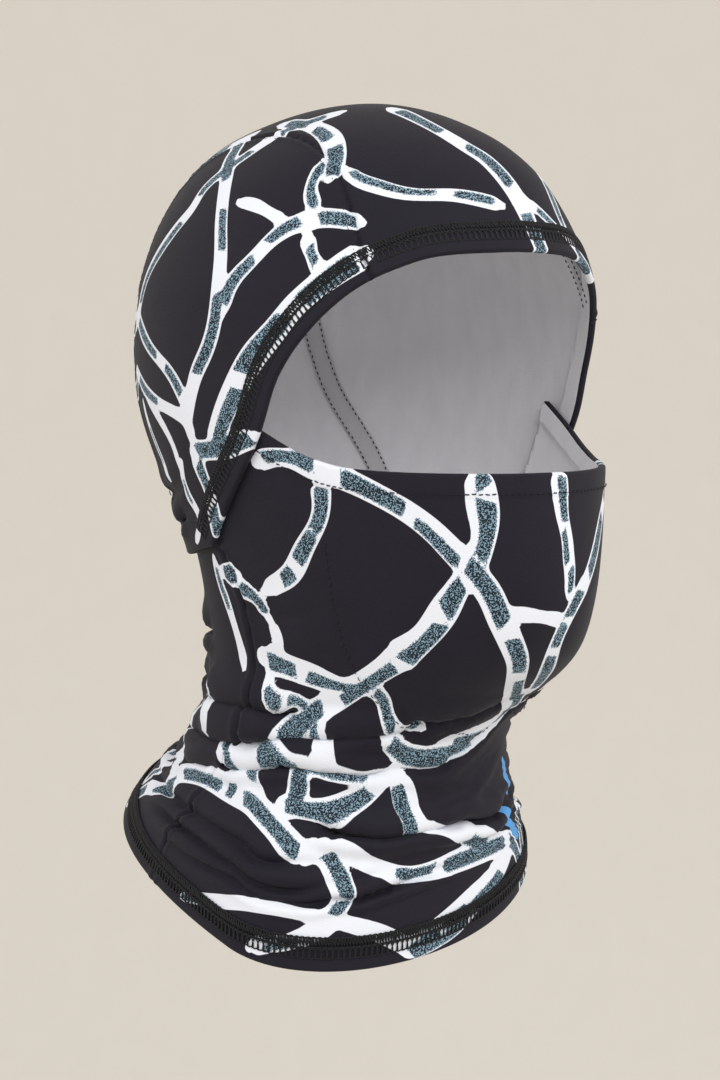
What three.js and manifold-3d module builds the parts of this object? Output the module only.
// A hinged winter balaclava of printed, fleece-backed stretch jersey, as it hangs on a head.
// Millimetres, +Z up, the face looks along -Y, and the wearer's right is -X.
// The origin is the centre of the wearer's head, level with the ears.
import * as THREE from "three";
import { mergeVertices } from "three/addons/utils/BufferGeometryUtils.js";
import Module from "manifold-3d";

const wasm = await Module();
wasm.setup();

// ---------------------------------------------------------------- driving dimensions
const HEAD_WIDTH = 156; // over the cloth, across the temples
const HEAD_LENGTH = 198; // over the cloth, forehead to back of head
const CROWN_HEIGHT = 111; // crown above the origin
const NECK_DROP = 183; // origin down to the bottom hem, measured on the vertical axis
const CLOTH = 1.2; // thickness of one ply of fleece-backed jersey
const PLY_GAP = 0.3; // clear gap between plies that lie on each other
const SEAM_GAP = 0.4; // clear gap between two panels along a seam
const THREAD = 0.6; // height of a line of stitches above the cloth
const HEM_WIDTH = 11; // cloth turned in at the face opening and at the bottom
const COVERSTITCH_WIDTH = 6; // band of overlock-style stitches that holds a turned hem
const TOPSTITCH_WIDTH = 1.2; // one line of lock stitches
const TOPSTITCH_INSET = 2.6; // from a seam to the line of lock stitches beside it
const ALLOWANCE = 5; // cloth laid flat on each side of a seam, on the inside
const MASK_HEM = 8.5; // height of the folded top hem of the mask
const MASK_STITCH_DROP = 6.2; // from the mask's top edge to its line of stitches
const MASK_HEM_REACH = 66; // the free part of the mask's hem lies further forward than this
const NAPE_LAP = 8; // overlap of the hood over the neck at the nape
const HEM_TILT_SIDE = 0.18; // the bottom hem rises this much per millimetre towards the left
const HEM_TILT_BACK = 0.313; // and this much per millimetre towards the back
// The hood sits turned on the head: its opening lies this much further forward per millimetre to the left.
const HOOD_TURN = 0.18;

// The outlines below are drawn for this head and are graded to the driving dimensions.
const DRAWN = { width: 156, length: 198, crown: 111, drop: 183 };
const gradeX = (x) => (x * HEAD_WIDTH) / DRAWN.width;
const gradeY = (y) => (y * HEAD_LENGTH) / DRAWN.length;
const gradeZ = (z) => (z > 0 ? (z * CROWN_HEIGHT) / DRAWN.crown : (z * NECK_DROP) / DRAWN.drop);

// Rings round the head and neck: [height, half width, reach to the front, reach to the back].
const RINGS = [
  [111, 0, 0, 0],
  [106, 25.5, 33, 39],
  [97, 42, 55, 66],
  [83, 57, 72, 81],
  [65, 67.5, 83, 92.5],
  [44, 75.5, 93, 99],
  [20, 78, 98, 100.5],
  [-3, 77.5, 100, 98],
  [-26, 74.5, 104, 84],
  [-46, 71, 105, 71],
  [-66, 67, 104.5, 65.5],
  [-83, 63.5, 101, 64],
  [-96, 60, 92, 66.5],
  [-108, 57.5, 74, 72],
  [-121, 57.5, 53, 80],
  [-140, 64, 51.5, 101],
  [-166, 75, 51, 128],
  [-222, 81, 54, 142],
].map(([z, a, f, b]) => ({ z: gradeZ(z), side: gradeX(a), front: gradeY(f), back: gradeY(b) }));

// Outlines seen from the wearer's left, as [y, z], from the front or the top towards the back or the bottom.
// The face and nape edges are drawn on the middle plane, and HOOD_TURN shifts them away from it.
const seenFromSide = ([y, z]) => new THREE.Vector2(gradeY(y), gradeZ(z));
const FACE_EDGE = [[-140, 55.5], [-90, 55.5], [-73, 49], [-57, 33.5], [-42, 12], [-30, -14], [0, -52]].map(
  seenFromSide,
);
const NAPE_EDGE = [[0, -52], [44, -59], [100, -60]].map(seenFromSide);
const MASK_TOP = [[-140, -22], [-76, -22], [-52, -18.5], [-31, -9], [-16, -1]].map(seenFromSide);
const MASK_SIDE = [[-16, -1], [-8, -25], [0, -52]].map(seenFromSide); // sewn to the inside of the hood
// The mask moves above this line along the jaw, and the cloth stays still below it.
const JAW_LINE = [[-140, -136], [-60, -132], [-38, -116], [0, -52]].map(seenFromSide);
const SIDE_SEAM = [[0, -52], [-9, -74], [-8, -104], [6, -126], [28, -158], [46, -226]].map(seenFromSide);
// The dart that shapes the chin, seen at 45 degrees from the wearer's right, as [across, z],
// from its tip on the cheek to the middle under the chin. The left one is its mirror image.
const DART = [[-18.5, -48], [-15, -72], [-8, -92], [8, -110], [39, -121]].map(
  ([across, z]) => new THREE.Vector2(gradeX(across), gradeZ(z)),
);
// Half width of the crown panel, by the angle over the head from the forehead to the nape, in degrees.
const CROWN_SEAM = { narrow: gradeX(37), wide: gradeX(57), at: 107, front: 38, back: 214 };

// ---------------------------------------------------------------- plies, as depths under the outer surface
const ply = (outer, thickness) => ({ outer, inner: outer + thickness });
const HOOD_CLOTH = ply(0, CLOTH);
const HOOD_LINING = ply(CLOTH + PLY_GAP, CLOTH); // turned hems and seam allowances of the hood
const NECK_DEPTH = HOOD_LINING.inner + PLY_GAP + 0.2; // the neck and mask lie inside the hood's edge
const NECK_CLOTH = ply(NECK_DEPTH, CLOTH);
const NECK_LINING = ply(NECK_CLOTH.inner + PLY_GAP, CLOTH);
const MASK_FOLD = ply(NECK_DEPTH, 2 * CLOTH);
const HOOD_THREAD = ply(-PLY_GAP - THREAD, THREAD);
const NECK_THREAD = ply(NECK_DEPTH - PLY_GAP - THREAD, THREAD);

const AROUND = 30; // facets round the head
const REACH = 300; // further out than any cloth

// ---------------------------------------------------------------- geometry helpers
function solidOf(geometry) {
  const bare = geometry.index ? geometry.toNonIndexed() : geometry.clone();
  for (const name of Object.keys(bare.attributes)) if (name !== "position") bare.deleteAttribute(name);
  const merged = mergeVertices(bare, 1e-3);
  return new wasm.Manifold(
    new wasm.Mesh({
      numProp: 3,
      vertProperties: new Float32Array(merged.attributes.position.array),
      triVerts: new Uint32Array(merged.index.array),
    }),
  );
}

function movePoints(geometry, move) {
  const at = geometry.attributes.position;
  const p = new THREE.Vector3();
  for (let i = 0; i < at.count; i++) {
    move(p.fromBufferAttribute(at, i));
    at.setXYZ(i, p.x, p.y, p.z);
  }
  return geometry;
}

// A point on the surface that lies depth under the outside of the hood, on one ring.
function surfacePoint(row, angle, depth) {
  const ring = RINGS[row];
  const sin = Math.sin(angle);
  const cos = Math.cos(angle);
  const reach = (r) => (cos > 0 ? r.front : r.back);
  const point = new THREE.Vector3(ring.side * sin, -reach(ring) * cos, ring.z);
  if (row === 0) return point.setZ(ring.z - depth);
  const before = RINGS[row - 1];
  const after = RINGS[Math.min(row + 1, RINGS.length - 1)];
  const across = new THREE.Vector3(ring.side * cos, reach(ring) * sin, 0);
  const down = new THREE.Vector3(
    (after.side - before.side) * sin,
    -(reach(after) - reach(before)) * cos,
    after.z - before.z,
  );
  const inward = across.cross(down).normalize();
  return point.addScaledVector(inward, depth);
}

// The whole body of head and neck, closed, with its surface depth under the outside of the hood.
function bodySolid(depth) {
  const last = RINGS.length - 1;
  const profile = RINGS.map((_, row) => new THREE.Vector2(row === 0 ? 0 : 1, row));
  profile.push(new THREE.Vector2(0, last));
  const lathe = new THREE.LatheGeometry(profile, AROUND);
  return solidOf(
    movePoints(lathe, (p) => {
      if (p.x * p.x + p.z * p.z < 0.25) p.set(0, 0, p.y < 1 ? RINGS[0].z - depth : RINGS[last].z - depth);
      else p.copy(surfacePoint(Math.round(p.y), Math.atan2(p.x, -p.z), depth));
      if (p.z < RINGS[last].z + 1) p.z = RINGS[last].z - depth - 1;
    }),
  );
}

const shells = new Map();
function shell(layer) {
  if (!shells.has(layer)) shells.set(layer, bodySolid(layer.outer).subtract(bodySolid(layer.inner)));
  return shells.get(layer);
}

// A prism whose outline [across, up] is seen from the front of the head, turned about its vertical axis.
// It reaches from the axis, or from behind it, out towards the viewer.
function prism(outline, turn, behind, shear = new THREE.Matrix4()) {
  const depth = REACH + behind;
  const block = new THREE.ExtrudeGeometry(new THREE.Shape(outline), { depth, bevelEnabled: false });
  return solidOf(block.translate(0, 0, -behind).rotateX(Math.PI / 2).rotateZ(turn).applyMatrix4(shear));
}

// The outline is [y, z], and the prism runs across the whole head.
function sidePrism(outline) {
  const turned = new THREE.Matrix4().makeShear(-HOOD_TURN, 0, 0, 0, 0, 0);
  return prism(outline, Math.PI / 2, REACH, turned);
}

// A smooth line through the outline's points, moved sideways by distance.
// Seen along the line, a positive distance moves it to its left.
function smooth(points, distance = 0, stepsPerPoint = 2) {
  const curve = new THREE.SplineCurve(points);
  const count = (points.length - 1) * stepsPerPoint;
  return Array.from({ length: count + 1 }, (_, i) => {
    const along = curve.getTangent(i / count);
    return curve.getPoint(i / count).add(new THREE.Vector2(-along.y, along.x).multiplyScalar(distance));
  });
}

// The strip between two smooth lines beside an outline.
const strip = (points, from, to) => [...smooth(points, from), ...smooth(points, to).reverse()];

const corner = (y, z) => new THREE.Vector2(y, z);

// Everything above the plane of the bottom hem, raised by distance.
function aboveHem(distance) {
  const slab = new THREE.BoxGeometry(4 * REACH, 4 * REACH, 4 * REACH).translate(0, 0, 2 * REACH);
  const upright = new THREE.Vector3(-HEM_TILT_SIDE, -HEM_TILT_BACK, 1).normalize();
  slab.applyQuaternion(new THREE.Quaternion().setFromUnitVectors(new THREE.Vector3(0, 0, 1), upright));
  return solidOf(slab.translate(0, 0, -NECK_DROP + distance / upright.z));
}

// The band between two heights over the bottom hem.
const hemBand = (from, to) => aboveHem(from).subtract(aboveHem(to));

// Half width of the crown panel at an angle over the head.
function crownHalfWidth(angle) {
  const { narrow, wide, at, front, back } = CROWN_SEAM;
  const degrees = THREE.MathUtils.radToDeg(angle);
  const span = degrees < at ? at - front : back - at;
  const share = Math.min(1, Math.abs(degrees - at) / span);
  return (narrow + wide) / 2 - ((wide - narrow) / 2) * Math.cos(Math.PI * share);
}

// Everything between the two crown seams, widened by extra on each side.
function crownStrip(extra) {
  const hub = HEAD_LENGTH / 4;
  const rim = 1.2 * Math.max(CROWN_HEIGHT, HEAD_LENGTH / 2);
  const profile = [[0, -1], [hub, -1], [rim, -1], [rim, 1], [hub, 1], [0, 1]];
  const drum = new THREE.LatheGeometry(profile.map(([r, end]) => new THREE.Vector2(r, end)), AROUND);
  return solidOf(
    movePoints(drum.rotateZ(-Math.PI / 2), (p) => {
      const overHead = Math.atan2(p.z, -p.y);
      const angle = overHead < -Math.PI / 2 ? overHead + 2 * Math.PI : overHead;
      const onAxis = Math.hypot(p.y, p.z) < 1;
      p.x = Math.sign(p.x) * ((onAxis ? CROWN_SEAM.narrow : crownHalfWidth(angle)) + extra);
    }),
  );
}

const crownSeamBand = (from, to) => crownStrip(to).subtract(crownStrip(from));
const sideBox = new THREE.BoxGeometry(REACH, 2 * REACH, 4 * REACH);
const half = (sign) => solidOf(sideBox.clone().translate((sign * REACH) / 2, 0, 0));

// ---------------------------------------------------------------- regions of the pattern
const hoodRegion = sidePrism([
  ...smooth(FACE_EDGE),
  ...smooth(NAPE_EDGE).slice(1),
  corner(REACH, NAPE_EDGE.at(-1).y),
  corner(REACH, REACH),
  corner(-REACH, REACH),
  corner(-REACH, FACE_EDGE[0].y),
]);
const faceBand = (from, to) => sidePrism(strip(FACE_EDGE, from, to));
const napeBand = (from, to) => sidePrism(strip(NAPE_EDGE, from, to));
const napeTop = sidePrism([...smooth(NAPE_EDGE, NAPE_LAP), corner(REACH, -REACH), corner(-REACH, -REACH)]);

const frontOutline = (gap) => [
  ...smooth(MASK_TOP),
  ...smooth(MASK_SIDE).slice(1),
  ...smooth(SIDE_SEAM, -gap).slice(1),
  corner(SIDE_SEAM.at(-1).x, -REACH),
  corner(-REACH, -REACH),
  corner(-REACH, MASK_TOP[0].y),
];
const frontRegion = sidePrism(frontOutline(SEAM_GAP / 2));
const backRegion = sidePrism([
  ...smooth(SIDE_SEAM, SEAM_GAP / 2),
  corner(REACH, -REACH),
  corner(REACH, NAPE_EDGE[0].y),
]);
// The free part of the mask's hem, which moves, grown by a clear gap on its two inner sides.
function freeHem(gap) {
  const behind = -gradeY(MASK_HEM_REACH) + gap;
  const ahead = sidePrism([
    corner(-REACH, -REACH),
    corner(behind, -REACH),
    corner(behind, REACH),
    corner(-REACH, REACH),
  ]);
  return sidePrism(strip(MASK_TOP, -MASK_HEM - gap, 1)).intersect(ahead);
}

// The strip beside one dart, between two distances from its line; a positive one is towards the chin.
function dartStrip(sign, from, to) {
  const mirror = (p) => new THREE.Vector2(-sign * p.x, p.y);
  return prism(strip(DART, from, to).map(mirror), (sign * Math.PI) / 4, 0);
}
const aboveJaw = (distance) => {
  const jaw = smooth(JAW_LINE, distance);
  return sidePrism([...jaw, corner(REACH, REACH), corner(-REACH, REACH)]);
};
const seamBand = (from, to) => sidePrism(strip(SIDE_SEAM, from, to));

// ---------------------------------------------------------------- sub-parts
const hoodCloth = shell(HOOD_CLOTH).intersect(hoodRegion);
const hoodLining = shell(HOOD_LINING).intersect(hoodRegion);
const hoodThread = shell(HOOD_THREAD).intersect(hoodRegion);
const neckCloth = shell(NECK_CLOTH).intersect(aboveHem(0));
const neckLining = shell(NECK_LINING).intersect(aboveHem(0));
const neckThread = shell(NECK_THREAD).intersect(aboveHem(0)).subtract(sidePrism([
  ...smooth(FACE_EDGE, -PLY_GAP),
  ...smooth(NAPE_EDGE, -PLY_GAP).slice(1),
  corner(REACH, REACH),
  corner(-REACH, REACH),
]));
const seamHalf = SEAM_GAP / 2;

const parts = new Map();

const SIDES = [
  { name: "right", sign: -1, region: half(-1) },
  { name: "left", sign: 1, region: half(1) },
];

function makeHood() {
  const turnedHem = hoodLining.intersect(faceBand(0, HEM_WIDTH));
  const turnedIn = faceBand(-1, HEM_WIDTH + PLY_GAP);
  const clearOfHems = hoodRegion.subtract(turnedIn).subtract(napeBand(-1, NAPE_LAP + PLY_GAP));
  const crownAllowance = hoodLining.intersect(clearOfHems).intersect(crownSeamBand(-ALLOWANCE, ALLOWANCE));
  const crownStitch = hoodThread
    .intersect(clearOfHems)
    .intersect(crownSeamBand(TOPSTITCH_INSET, TOPSTITCH_INSET + TOPSTITCH_WIDTH));
  parts.set("hood_crown_panel", hoodCloth.intersect(crownStrip(-seamHalf)));
  parts.set("face_hem_fold_crown", turnedHem.intersect(crownStrip(-seamHalf)));
  for (const { name, region } of SIDES) {
    const outside = region.subtract(crownStrip(seamHalf));
    parts.set(`hood_${name}_panel`, hoodCloth.intersect(outside));
    parts.set(`face_hem_fold_${name}`, turnedHem.intersect(outside));
    parts.set(`crown_seam_allowance_${name}`, crownAllowance.intersect(region));
    parts.set(`crown_seam_topstitch_${name}`, crownStitch.intersect(region));
  }
  parts.set("face_hem_coverstitch", hoodThread.intersect(faceBand(HEM_WIDTH - COVERSTITCH_WIDTH, HEM_WIDTH)));
  const napeAllowance = hoodLining.intersect(napeBand(0, NAPE_LAP)).subtract(turnedIn);
  parts.set("nape_seam_allowance", napeAllowance);
}

function makeMask() {
  const belowHem = frontRegion.subtract(sidePrism(strip(MASK_TOP, -MASK_HEM - PLY_GAP, 1)));
  const hemEnds = neckLining
    .intersect(frontRegion)
    .intersect(sidePrism(strip(MASK_TOP, -MASK_HEM, 1)))
    .subtract(freeHem(PLY_GAP));
  let front = neckCloth.intersect(frontRegion).subtract(freeHem(PLY_GAP));
  for (const { name, sign, region } of SIDES) {
    const beside = (from, to) => dartStrip(sign, from, to).intersect(region).intersect(belowHem);
    front = front.subtract(beside(-seamHalf, seamHalf));
    parts.set(`mask_hem_end_${name}`, hemEnds.intersect(region));
    parts.set(`chin_dart_allowance_${name}`, neckLining.intersect(beside(0, ALLOWANCE)));
    parts.set(
      `chin_dart_topstitch_${name}`,
      neckThread.intersect(beside(TOPSTITCH_INSET, TOPSTITCH_INSET + TOPSTITCH_WIDTH)),
    );
  }
  parts.set("mask_panel", front.intersect(aboveJaw(seamHalf)));
  parts.set("neck_front_panel", front.subtract(aboveJaw(-seamHalf)));
  parts.set("mask_top_hem", shell(MASK_FOLD).intersect(frontRegion).intersect(freeHem(0)));
  parts.set(
    "mask_hem_topstitch",
    shell(NECK_THREAD)
      .intersect(freeHem(0))
      .intersect(sidePrism(strip(MASK_TOP, -MASK_STITCH_DROP - TOPSTITCH_WIDTH, -MASK_STITCH_DROP))),
  );
}

function makeNeck() {
  parts.set("neck_back_panel", neckCloth.intersect(backRegion).intersect(napeTop));
  const bottomFold = neckLining.subtract(aboveHem(HEM_WIDTH));
  parts.set("bottom_hem_fold_front", bottomFold.intersect(frontRegion));
  parts.set("bottom_hem_fold_back", bottomFold.intersect(backRegion));
  const stitchBand = hemBand(HEM_WIDTH - COVERSTITCH_WIDTH, HEM_WIDTH);
  parts.set("bottom_hem_coverstitch", neckThread.intersect(stitchBand));
  const allowance = neckLining
    .intersect(seamBand(-ALLOWANCE, ALLOWANCE))
    .intersect(aboveHem(HEM_WIDTH + PLY_GAP))
    .intersect(napeTop);
  for (const { name, region } of SIDES) parts.set(`side_seam_allowance_${name}`, allowance.intersect(region));
}

makeHood();
makeMask();
makeNeck();

// ---------------------------------------------------------------- the model
const printedJersey = new THREE.MeshStandardMaterial({ color: 0x2a2731, roughness: 0.62, metalness: 0 });
const brushedFleece = new THREE.MeshStandardMaterial({ color: 0xb4b2b8, roughness: 0.95, metalness: 0 });
const blackThread = new THREE.MeshStandardMaterial({ color: 0x0c0c0e, roughness: 0.55, metalness: 0 });

function materialOf(name) {
  if (name.includes("stitch")) return blackThread;
  return name.includes("allowance") || name.includes("fold") ? brushedFleece : printedJersey;
}

function geometryOf(manifold) {
  const { vertProperties, triVerts, numProp } = manifold.getMesh();
  const points = new Float32Array((vertProperties.length / numProp) * 3);
  for (let i = 0; i < points.length / 3; i++) {
    points.set(vertProperties.subarray(i * numProp, i * numProp + 3), i * 3);
  }
  const geometry = new THREE.BufferGeometry();
  geometry.setAttribute("position", new THREE.BufferAttribute(points, 3));
  geometry.setIndex(new THREE.BufferAttribute(new Uint32Array(triVerts), 1));
  geometry.computeVertexNormals();
  return geometry;
}

const balaclava = new THREE.Group();
for (const [name, manifold] of parts) {
  const mesh = new THREE.Mesh(geometryOf(manifold), materialOf(name));
  mesh.name = name;
  balaclava.add(mesh);
}

export default balaclava;
